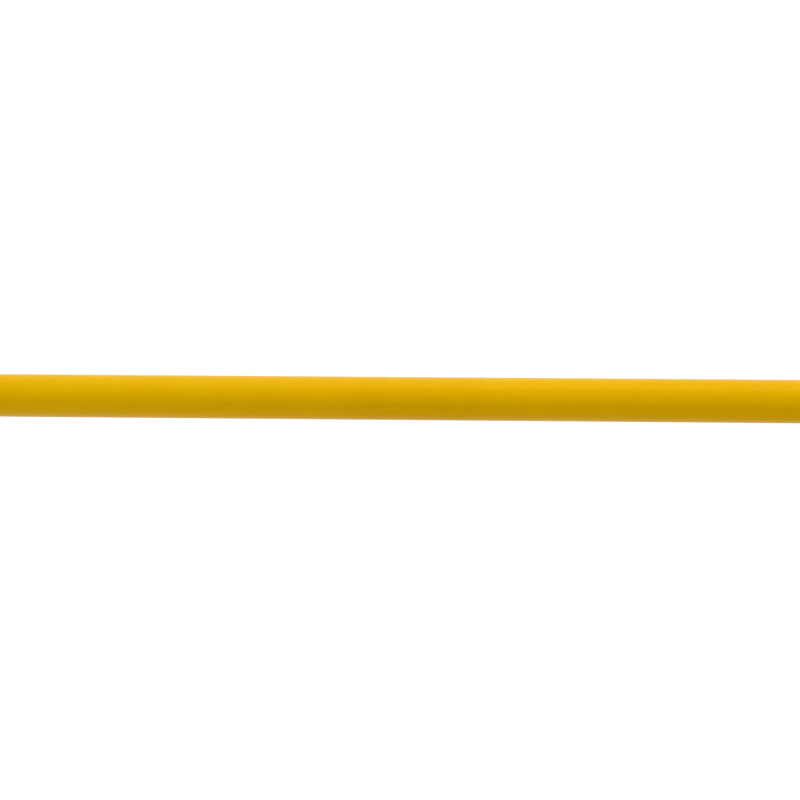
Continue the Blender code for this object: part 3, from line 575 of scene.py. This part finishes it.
# ------------------------------------------------ hub and rain cap
# The hub is turned steel tube, galvanised like the frame welded to it. The
# cap is moulded black nylon, pushed on to keep rain off the upper bearing.
hub_low, hub_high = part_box("hub")
hub_radius = (hub_high.x - hub_low.x) / 2
SEAT, WAIST, LEDGE, ROUNDING = 0.0213, 0.0175, 0.013, 0.0012
long = hub_high.z - hub_low.z
corner = [math.pi / 2 * k / 4 for k in range(5)]
hub_profile = [(SEAT, 0), (SEAT, LEDGE), (WAIST, LEDGE), (WAIST, long - LEDGE), (SEAT, long - LEDGE),
               (SEAT, long)]
hub_profile += [(hub_radius - ROUNDING * (1 - math.sin(a)), long - ROUNDING * (1 - math.cos(a)))
                for a in corner]
hub_profile += [(hub_radius - ROUNDING * (1 - math.cos(a)), ROUNDING * (1 - math.sin(a)))
                for a in corner]
hub = lathe("hub_turned", hub_profile, (0, 0, hub_low.z), (0, 0, hub_high.z))
dress(hub, "head", ZINC, "galvanised_steel", "hub")

cap_low, cap_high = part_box("rain_cap")
outer = (cap_high.x - cap_low.x) / 2
CAP_WALL, CAP_STEPS, CAP_BLUNT = 0.0025, 28, 0.75
CAP_SEAT = 0.008             # the side stays straight to this far above the hub
inner = outer - CAP_WALL
shoulder = hub_high.z + CAP_SEAT - cap_low.z
top = cap_high.z - cap_low.z
cap_profile = [(0, top - CAP_WALL)]
for step in range(CAP_STEPS - 1, -1, -1):
    angle = math.pi / 2 * step / CAP_STEPS
    cap_profile.append((inner * math.cos(angle) ** CAP_BLUNT,
                        shoulder + (top - CAP_WALL - shoulder) * math.sin(angle) ** CAP_BLUNT))
bead = outer + 0.0004         # a low bead round the cap's lower edge
cap_profile += [(inner, 0.0006), (inner + 0.0006, 0), (outer - 0.0002, 0), (bead, 0.0008),
                (bead, 0.0034), (outer, 0.0042)]
for step in range(CAP_STEPS):
    angle = math.pi / 2 * step / CAP_STEPS
    cap_profile.append((outer * math.cos(angle) ** CAP_BLUNT,
                        shoulder + (top - shoulder) * math.sin(angle) ** CAP_BLUNT))
cap_profile.append((0, top))
cap = lathe("rain_cap_moulding", cap_profile, (0, 0, cap_low.z), (0, 0, cap_high.z))
dress(cap, "head", NYLON, "black_plastic", "rain_cap")


# ------------------------------------------------ hooped frame
# Round steel rod rolled into two hoops, four rod struts between them and two
# tube arms to the hub, all welded and then galvanised.
def round_bar(name, start, end, radius, sides=24):
    """A straight round bar between two points, its ends closed."""
    start = Vector(start)
    end = Vector(end)
    deselect()
    bpy.ops.mesh.primitive_cylinder_add(vertices=sides, radius=radius, depth=(end - start).length)
    bar = bpy.context.object
    bar.name = name
    turn = (end - start).to_track_quat("Z", "Y").to_matrix().to_4x4()
    bar.data.transform(Matrix.Translation((start + end) / 2) @ turn)
    bar.location = (0, 0, 0)
    bpy.ops.object.shade_smooth_by_angle(angle=math.radians(40))
    return bar


hoops = {}
for name in ("mouth_hoop", "rear_hoop"):
    low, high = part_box(name)
    rod_radius = (high.x - low.x) / 2
    centre = (low + high) / 2
    reach = (high.z - low.z) / 2 - rod_radius
    deselect()
    bpy.ops.mesh.primitive_torus_add(major_segments=128, minor_segments=20, major_radius=reach,
                                     minor_radius=rod_radius)
    ring = bpy.context.object
    ring.name = f"{name}_rod"
    ring.data.transform(Matrix.Translation(centre) @ Matrix.Rotation(math.pi / 2, 4, "Y"))
    bpy.ops.object.shade_smooth()
    dress(ring, "head", ZINC, "galvanised_steel", name)
    hoops[name] = (centre, reach, rod_radius)

mouth_centre, mouth_reach, HOOP_ROD = hoops["mouth_hoop"]
rear_centre, rear_reach, rear_rod = hoops["rear_hoop"]
STRUT_RADIUS = 0.004
STRUT_BEAD = 0.0015
WELD_STAND = 1.02            # a weld ring stands just proud of the rod it goes round
for number in range(1, 5):
    angle = math.tau * (number - 0.5) / 4
    way = Vector((0, math.cos(angle), math.sin(angle)))
    start = mouth_centre + way * mouth_reach
    end = rear_centre + way * rear_reach
    bar = round_bar(f"strut_{number}_rod", start, end, STRUT_RADIUS)
    dress(bar, "head", ZINC, "galvanised_steel", f"strut_{number}")
    run = (end - start).normalized()
    for tag, spot, sign in (("front", start, 1), ("rear", end, -1)):
        deselect()
        bpy.ops.mesh.primitive_torus_add(major_segments=24, minor_segments=8,
                                         major_radius=STRUT_RADIUS * WELD_STAND,
                                         minor_radius=STRUT_BEAD)
        bead = bpy.context.object
        bead.name = f"weld_strut_{number}_{tag}"
        turn = run.to_track_quat("Z", "Y").to_matrix().to_4x4()
        bead.data.transform(Matrix.Translation(spot + run * sign * HOOP_ROD * WELD_STAND) @ turn)
        bpy.ops.object.shade_smooth()
        dress(bead, "head", ZINC, "galvanised_steel")

head_middle = (hub_low.z + hub_high.z) / 2
ARM_RADIUS = 0.008
ARM_SPREAD = 0.020
ARM_ROOT = 0.004             # how far the tube's coped end reaches into the hub's wall
ARM_END = 0.001
ARM_BEAD = 0.0026
BEAD_STRETCH = 1.35          # the tube meets the hub at a slant, so its weld is an oval
for name, way in (("upper_arm", 1), ("lower_arm", -1)):
    root = Vector((hub_radius, 0, head_middle + way * ARM_SPREAD))
    end = mouth_centre + Vector((0, 0, way * mouth_reach))
    run = (end - root).normalized()
    bar = round_bar(f"{name}_tube", root - run * ARM_ROOT, end - run * ARM_END, ARM_RADIUS, 32)
    dress(bar, "head", ZINC, "galvanised_steel", name)
    deselect()
    bpy.ops.mesh.primitive_torus_add(major_segments=48, minor_segments=10,
                                     major_radius=ARM_RADIUS * BEAD_STRETCH, minor_radius=ARM_BEAD)
    bead = bpy.context.object
    bead.name = f"weld_{name}"
    lay = Matrix.Rotation(math.pi / 2, 4, "Y") @ Matrix.Diagonal((BEAD_STRETCH, 0.95, 1, 1))
    bead.data.transform(Matrix.Translation((hub_radius + 0.0006, 0, root.z + way * 0.001)) @ lay)
    bpy.ops.object.shade_smooth()
    dress(bead, "head", ZINC, "galvanised_steel")


# ------------------------------------------------ sock cloth
# Coated ripstop nylon in orange and white bands, each a ring cut to the
# cone's taper. The first band is held open by the hoops; the rest hangs limp
# from the rear hoop.
def ripstop(name, colour, crease_shade):
    """Ripstop nylon: thin cloth with a 5 mm grid of thicker threads and a soft sheen; its colour is
    painted darker in the hollows of its crease bumps, as painted shade.
    """
    made, tree, shader = surface(name, colour, 0.62)
    shader.inputs["Sheen Weight"].default_value = 0.10
    shader.inputs["Sheen Roughness"].default_value = 0.4
    shader.inputs["Subsurface Weight"].default_value = 0.18
    shader.inputs["Subsurface Radius"].default_value = (0.004, 0.003, 0.002)
    place = node(tree, "ShaderNodeUVMap", {"uv_map": "cloth"})
    split = node(tree, "ShaderNodeSeparateXYZ", None, {"Vector": (place, "UV")})
    ribs = []
    fine = []
    for axis in ("X", "Y"):
        along = node(tree, "ShaderNodeMath", {"operation": "MULTIPLY", 1: math.tau / GRID},
                     {0: (split, axis)})
        wave = node(tree, "ShaderNodeMath", {"operation": "COSINE"}, {0: (along, 0)})
        ribs.append(node(tree, "ShaderNodeMapRange", {"From Min": 0.80, "From Max": 1.0},
                         {"Value": (wave, 0)}))
        along = node(tree, "ShaderNodeMath", {"operation": "MULTIPLY", 1: math.tau / THREAD},
                     {0: (split, axis)})
        fine.append(node(tree, "ShaderNodeMath", {"operation": "SINE"}, {0: (along, 0)}))
    grid = node(tree, "ShaderNodeMath", {"operation": "MAXIMUM"},
                {0: (ribs[0], "Result"), 1: (ribs[1], "Result")})
    weave = node(tree, "ShaderNodeMath", {"operation": "MULTIPLY"}, {0: (fine[0], 0), 1: (fine[1], 0)})
    height = node(tree, "ShaderNodeMath", {"operation": "MULTIPLY_ADD", 1: 0.22},
                  {0: (weave, 0), 2: (grid, 0)})
    crease_bump_and_shade = node(tree, "ShaderNodeTexNoise", {"Scale": 22.0, "Detail": 6.0, "Roughness": 0.62},
                  {"Vector": (place, "UV")})
    # Painted shade: the cloth turns to its darker second colour where the crease noise is low, which is
    # in the hollows of the soft crease bumps below.
    cloth_and_crease_shade = two_tones(tree, (crease_bump_and_shade, "Fac"), crease_shade, colour, 0.3, 0.65)
    mixed = node(tree, "ShaderNodeMix", {"data_type": "RGBA", "blend_type": "MULTIPLY"})
    mixed.inputs[0].default_value = 0.16
    tree.links.new(cloth_and_crease_shade.outputs["Color"], mixed.inputs[6])
    dim = node(tree, "ShaderNodeMapRange", {"To Min": 1.0, "To Max": 0.0}, {"Value": (grid, 0)})
    tree.links.new(dim.outputs["Result"], mixed.inputs[7])
    tree.links.new(mixed.outputs[2], shader.inputs["Base Color"])
    soft = node(tree, "ShaderNodeBump", {"Strength": 0.35, "Distance": 0.0025},
                {"Height": (crease_bump_and_shade, "Fac")})
    bump = node(tree, "ShaderNodeBump", {"Strength": 0.35, "Distance": 0.0003},
                {"Height": (height, 0), "Normal": (soft, "Normal")})
    tree.links.new(bump.outputs["Normal"], shader.inputs["Normal"])
    return made


GRID = 0.005                 # ripstop grid spacing
THREAD = 0.0012              # plain weave, drawn coarser than the real 0.3 mm so it shows
# Each cloth's second colour is painted shade, laid in the hollows of its crease bumps.
ORANGE = ripstop("orange_ripstop", "ee500a", "d94405")
WHITE = ripstop("white_ripstop", "eeeee8", "dcdcd4")

SOCK_LENGTH = 1.2
BAND = SOCK_LENGTH / 5
CLOTH_GAP = 0.0012           # cloth clear of the hoops
CLOTH = 0.0007               # coated cloth's thickness
MOUTH_LIP = 0.006            # cloth in front of the mouth hoop's middle
AROUND = 160                 # points round every ring of cloth
mouth_ring = mouth_reach + HOOP_ROD + CLOTH_GAP
rear_ring = rear_reach + rear_rod + CLOTH_GAP
tail_ring = mouth_ring + (rear_ring - mouth_ring) / BAND * SOCK_LENGTH


def cone(run):
    """Radius of the full sock at a distance from the mouth hoop."""
    return mouth_ring + (tail_ring - mouth_ring) * run / SOCK_LENGTH


def ease(value):
    """Smooth step from 0 to 1."""
    value = min(1.0, max(0.0, value))
    return value * value * (3 - 2 * value)


def held_point(angle, run, lift=0.0):
    """Cloth over the hoops; angle is from the top, run from the mouth hoop."""
    across = min(1.0, max(0.0, run / BAND))
    sag = 0.0050 * math.sin(math.pi * across) ** 2 * math.cos(2 * angle) ** 2
    gather = 0.0014 * math.cos(16 * angle) * math.exp(-max(0.0, run) / 0.045) * ease(run / 0.02)
    ripple = 0.0012 * noise.noise(Vector((math.cos(angle) * 2, math.sin(angle) * 2, run * 9)))
    radius = cone(run) - sag + gather + ripple * math.sin(math.pi * across) + lift
    return Vector((mouth_centre.x + run, radius * math.sin(angle),
                   mouth_centre.z + radius * math.cos(angle)))


NEAR_ELBOW = 0.050           # cloth run over which the limp sock turns down on the pole side
FAR_ELBOW = 0.300            # the same on the far side, which goes over the hoop's top
FILL = 0.60                  # how round the limp tail stays
NEAR_RATE = (0.88, 0.94)     # drop per run on the pole side, in the first band and below
FAR_RATE = (0.16, 0.93)      # the same on the far side, less the way down from the hoop's top
HANG_CLEAR = 0.0095          # the tail's near side hangs this far past the hoop's middle
FLATTEN = 0.70               # width of the limp tail as a share of what its roundness would give
FOLD_START = 0.01            # the long folds begin here, past the hoop,
FOLD_GROW = 0.30             # and are full this much further on
SWAY = 0.012
WIDEN = 0.10                 # run over which the hoop's width passes to the tail's


def limp_point(angle, run, lift=0.0):
    """Cloth past the rear hoop; angle is from the top of the hoop, run from the mouth hoop."""
    past = max(0.0, run - BAND)
    far = math.cos(angle)
    full = cone(run)
    elbow = NEAR_ELBOW + (FAR_ELBOW - NEAR_ELBOW) * (1 + far) / 2
    bend = ease(past / elbow)
    turn = math.pi / 2 * bend
    fold_share = ease((past - FOLD_START) / FOLD_GROW)
    fold = (0.0085 * math.cos(5 * angle + 0.9 + 2.2 * past)
            + 0.0055 * math.cos(9 * angle - 1.3 - 3.0 * past)
            + 0.0030 * math.cos(14 * angle + 0.4 + 6.0 * past)) * fold_share
    crumple = 0.010 * noise.noise(Vector((math.cos(angle) * 1.6, math.sin(angle) * 1.6, past * 7)))
    crumple += 0.004 * noise.noise(Vector((math.cos(angle) * 5, math.sin(angle) * 5, past * 20)))
    push = (fold + crumple * ease(past / 0.08)) * (full / mouth_ring) ** 0.5 + lift
    deep = full * FILL + push
    wide = full * (2 - FILL) * FLATTEN + push
    middle = HANG_CLEAR + full * FILL
    sway = SWAY * math.sin(3.4 * past) * ease(past / 0.4)
    first = min(past, BAND)
    rest = past - first
    rates = [(near + away) / 2 - far * (near - away) / 2 for near, away in zip(NEAR_RATE, FAR_RATE)]
    drop = (first * rates[0] + rest * rates[1]) * bend
    out = (middle + deep * far) * math.sin(turn)
    ring = rear_ring + lift
    up = ring * (1 + far) * math.cos(turn)
    side = ring + (wide - ring) * ease(past / WIDEN)
    return Vector((rear_centre.x + out + sway, side * math.sin(angle),
                   rear_centre.z - rear_ring + up - drop))


def cloth_band(name, begin, end, rows, shape_of, look, gather=None):
    """A ring of cloth between two runs, thickened, with its threads' UVs in metres."""
    runs = [begin + (end - begin) * (k / rows if gather is None else gather(k / rows))
            for k in range(rows + 1)]
    grid = [[shape_of(math.tau * k / AROUND, run) for k in range(AROUND + 1)] for run in runs]
    shape = bmesh.new()
    layer = shape.loops.layers.uv.new("cloth")
    dots = [[shape.verts.new(row[k]) for k in range(AROUND)] for row in grid]
    lengths = [[0.0] * (AROUND + 1)]
    for row in range(rows):
        lengths.append([lengths[-1][k] + (grid[row + 1][k] - grid[row][k]).length
                        for k in range(AROUND + 1)])
    for row in range(rows):
        for k in range(AROUND):
            after = (k + 1) % AROUND
            face = shape.faces.new((dots[row][k], dots[row][after], dots[row + 1][after],
                                    dots[row + 1][k]))
            marks = ((row, k), (row, k + 1), (row + 1, k + 1), (row + 1, k))
            for loop, (r, a) in zip(face.loops, marks):
                loop[layer].uv = (a / AROUND * math.tau * cone(runs[r]), begin + lengths[r][a])
    shape.normal_update()
    piece = from_shape(name, shape)
    piece.data.shade_smooth()
    apply_modifier(piece, "thickness", "SOLIDIFY", thickness=CLOTH, offset=0)
    piece.data.materials.append(look)
    return piece


def lift_with_tail(piece):
    """Cloth past the rear hoop, with its placement baked into its mesh."""
    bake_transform(piece)


front = cloth_band("sock_front_cloth", -MOUTH_LIP, BAND, 60, held_point, ORANGE)
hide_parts("sock_band_1")
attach(front, "head")
for number in range(2, 6):
    look = ORANGE if number % 2 else WHITE
    begin = BAND * (number - 1)
    rows = 90 if number == 2 else 60
    gather = (lambda share: share ** 1.5) if number == 2 else None
    piece = cloth_band(f"sock_cloth_{number}", begin, begin + BAND, rows, limp_point, look, gather)
    lift_with_tail(piece)
    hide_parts(f"sock_band_{number}")


# ------------------------------------------------ seams, hems and stitches
# Each seam is a felled strip 12 mm wide with two rows of lockstitch. The
# mouth has a wider webbing hem for the eyelets, the tail a narrow one.
def thread_white():
    """Bonded polyester sewing thread: off-white, soft, slightly fuzzy."""
    made, tree, shader = surface("sewing_thread", "e9e4d6", 0.75)
    place = node(tree, "ShaderNodeTexCoord")
    twist = node(tree, "ShaderNodeTexNoise", {"Scale": 2500.0}, {"Vector": (place, "Object")})
    ramp = two_tones(tree, (twist, "Fac"), "cfc8b6", "f3efe4")
    tree.links.new(ramp.outputs["Color"], shader.inputs["Base Color"])
    return made


THREAD_LOOK = thread_white()
STITCH = 0.0062              # stitch pitch, a little coarse so the rows show
STITCH_THICK = 0.0005
STITCH_PARTS = (0.16, 0.50, 0.84)    # where each stitch starts, crests and ends in its pitch
STITCH_CREST = 0.0003
STITCH_SINK = 0.0006         # its underside lies this far down in the cloth
TAPE_LIFT = 0.0010           # a seam's strip above the cloth it lies on


def stitches(name, run, shape_of, moves):
    """One row of stitches round the sock, as short rounded dashes on the cloth."""
    count = int(math.tau * cone(run) / STITCH)
    shape = bmesh.new()
    raised = CLOTH * 1.5 + TAPE_LIFT
    for k in range(count):
        angles = [math.tau * (k + part) / count for part in STITCH_PARTS]
        ends = [(shape_of(angle, run, raised + crest),
                 shape_of(angle, run + STITCH_THICK * 1.6, raised))
                for angle, crest in zip(angles, (0, STITCH_CREST, 0))]
        lower = [shape_of(angle, run + STITCH_THICK * 0.8, raised - STITCH_SINK)
                 for angle in (angles[0], angles[2])]
        top = [shape.verts.new(p) for pair in ends for p in pair]
        base = [shape.verts.new(p) for p in lower]
        a0, b0, a1, b1, a2, b2 = top
        for loop in ((a0, a1, b1, b0), (a1, a2, b2, b1), (b0, b1, b2, base[1], base[0]),
                     (a2, a1, a0, base[0], base[1]), (a0, b0, base[0]), (b2, a2, base[1])):
            shape.faces.new(loop)
    bmesh.ops.recalc_face_normals(shape, faces=shape.faces)
    piece = from_shape(name, shape)
    piece.data.shade_smooth()
    piece.data.materials.append(THREAD_LOOK)
    moves(piece)
    return piece


def tape(name, run, wide, shape_of, look, slot, moves):
    """A felled strip of cloth laid over a seam."""
    lifted = lambda angle, at: shape_of(angle, at, TAPE_LIFT)
    piece = cloth_band(name, run - wide / 2, run + wide / 2, 4, lifted, look)
    moves(piece)
    return piece


def ride_head(piece):
    """A sewn piece that stays with the hoops."""
    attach(piece, "head")


TAPE = 0.012
MOUTH_HEM = (0.013, 0.036)   # middle and width of the webbing hem at the mouth
TAIL_HEM = (SOCK_LENGTH - 0.008, 0.016)
TAIL_STITCH = 0.006          # the tail's stitches lie this far before its hem's middle
sewn = {number: [] for number in range(1, 6)}
hem = tape("mouth_hem", *MOUTH_HEM, held_point, ORANGE, "orange_cloth", ride_head)
sewn[1].append(hem)
for tag, run in (("front", -0.002), ("back", 0.0285)):
    sewn[1].append(stitches(f"mouth_stitch_{tag}", run, held_point, ride_head))
rear = tape("rear_hoop_seam", BAND - TAPE / 2, TAPE, held_point, ORANGE, "orange_cloth", ride_head)
sewn[1].append(rear)
for tag, run in (("front", BAND - TAPE + 0.002), ("back", BAND - 0.0035)):
    sewn[1].append(stitches(f"rear_hoop_stitch_{tag}", run, held_point, ride_head))
for number in range(3, 6):
    run = BAND * (number - 1)
    look, slot = (ORANGE, "orange_cloth") if number % 2 else (WHITE, "white_cloth")
    sewn[number].append(tape(f"seam_{number}", run, TAPE, limp_point, look, slot, lift_with_tail))
    for tag, offset in (("upper", -0.0042), ("lower", 0.0034)):
        sewn[number].append(stitches(f"seam_{number}_stitch_{tag}", run + offset, limp_point,
                                     lift_with_tail))
sewn[5].append(tape("tail_hem", *TAIL_HEM, limp_point, ORANGE, "orange_cloth", lift_with_tail))
sewn[5].append(stitches("tail_hem_stitch", TAIL_HEM[0] - TAIL_STITCH, limp_point, lift_with_tail))


# ------------------------------------------------ eyelets and ties
# Eight spun brass eyelets sit in the mouth hem behind the hoop. A black
# nylon tie goes through each and round the hoop.
def spun_brass():
    """Spun brass: warm bright metal, lightly tarnished."""
    made, tree, shader = surface("spun_brass", "c9a050", 0.3, 1.0)
    place = node(tree, "ShaderNodeTexCoord")
    tarnish = node(tree, "ShaderNodeTexNoise", {"Scale": 220.0, "Detail": 3.0},
                   {"Vector": (place, "Object")})
    ramp = two_tones(tree, (tarnish, "Fac"), "9c7432", "d9b566")
    tree.links.new(ramp.outputs["Color"], shader.inputs["Base Color"])
    return made


BRASS = spun_brass()
TIES = 8
EYELET_RUN = 0.0205          # eyelets' middle behind the mouth hoop's middle
EYELET_RING = (0.0062, 0.0016)       # radius of the ring and of its rolled edge
EYELET_FLAT = 0.8
LOOP = 0.0150
STRAP = 0.0010
STRAP_FLAT = 1.9             # a strap is this many times as wide as thick
TIE_RUN = 0.006
TIE_LIFT = 0.002
TIE_HEAD = (0.0058, 0.0052, 0.0042)
TIE_STUB = (0.0100, 0.0036, 0.0010)
for number in range(1, TIES + 1):
    angle = -math.tau * (number - 0.5) / TIES
    spin = Matrix.Translation(mouth_centre) @ Matrix.Rotation(-angle, 4, "X")
    deselect()
    bpy.ops.mesh.primitive_torus_add(major_segments=32, minor_segments=10,
                                     major_radius=EYELET_RING[0], minor_radius=EYELET_RING[1])
    eyelet = bpy.context.object
    eyelet.name = f"eyelet_{number}"
    skin = cone(EYELET_RUN) + EYELET_RING[1]
    flat = Matrix.Diagonal((1, 1, EYELET_FLAT, 1))
    eyelet.data.transform(spin @ Matrix.Translation((EYELET_RUN, 0, skin)) @ flat)
    bpy.ops.object.shade_smooth()
    dress(eyelet, "head", BRASS, "bright_steel")
    deselect()
    bpy.ops.mesh.primitive_cube_add(size=1.0)
    head = bpy.context.object
    at_top = mouth_reach + TIE_LIFT + LOOP
    head.data.transform(spin @ Matrix.Translation((TIE_RUN, 0, at_top + 0.0006))
                        @ Matrix.Diagonal((*TIE_HEAD, 1)))
    apply_modifier(head, "edges", "BEVEL", width=0.0007, segments=2)
    bpy.ops.object.shade_smooth_by_angle(angle=math.radians(35))
    bpy.ops.mesh.primitive_cube_add(size=1.0)
    stub = bpy.context.object
    stub.data.transform(spin @ Matrix.Translation((0.001, 0, at_top + 0.0014))
                        @ Matrix.Diagonal((*TIE_STUB, 1)))
    bpy.ops.mesh.primitive_torus_add(major_segments=48, minor_segments=10, major_radius=LOOP,
                                     minor_radius=STRAP)
    loop = bpy.context.object
    loop.name = f"tie_{number}"
    lay = Matrix.Rotation(math.pi / 2, 4, "X") @ Matrix.Diagonal((1, 1, STRAP_FLAT, 1))
    loop.data.transform(spin @ Matrix.Translation((TIE_RUN, 0, mouth_reach + TIE_LIFT)) @ lay)
    bpy.ops.object.shade_smooth()
    head.select_set(True)
    stub.select_set(True)
    bpy.ops.object.join()
    dress(loop, "head", NYLON, "black_plastic", f"sock_tie_{number}")
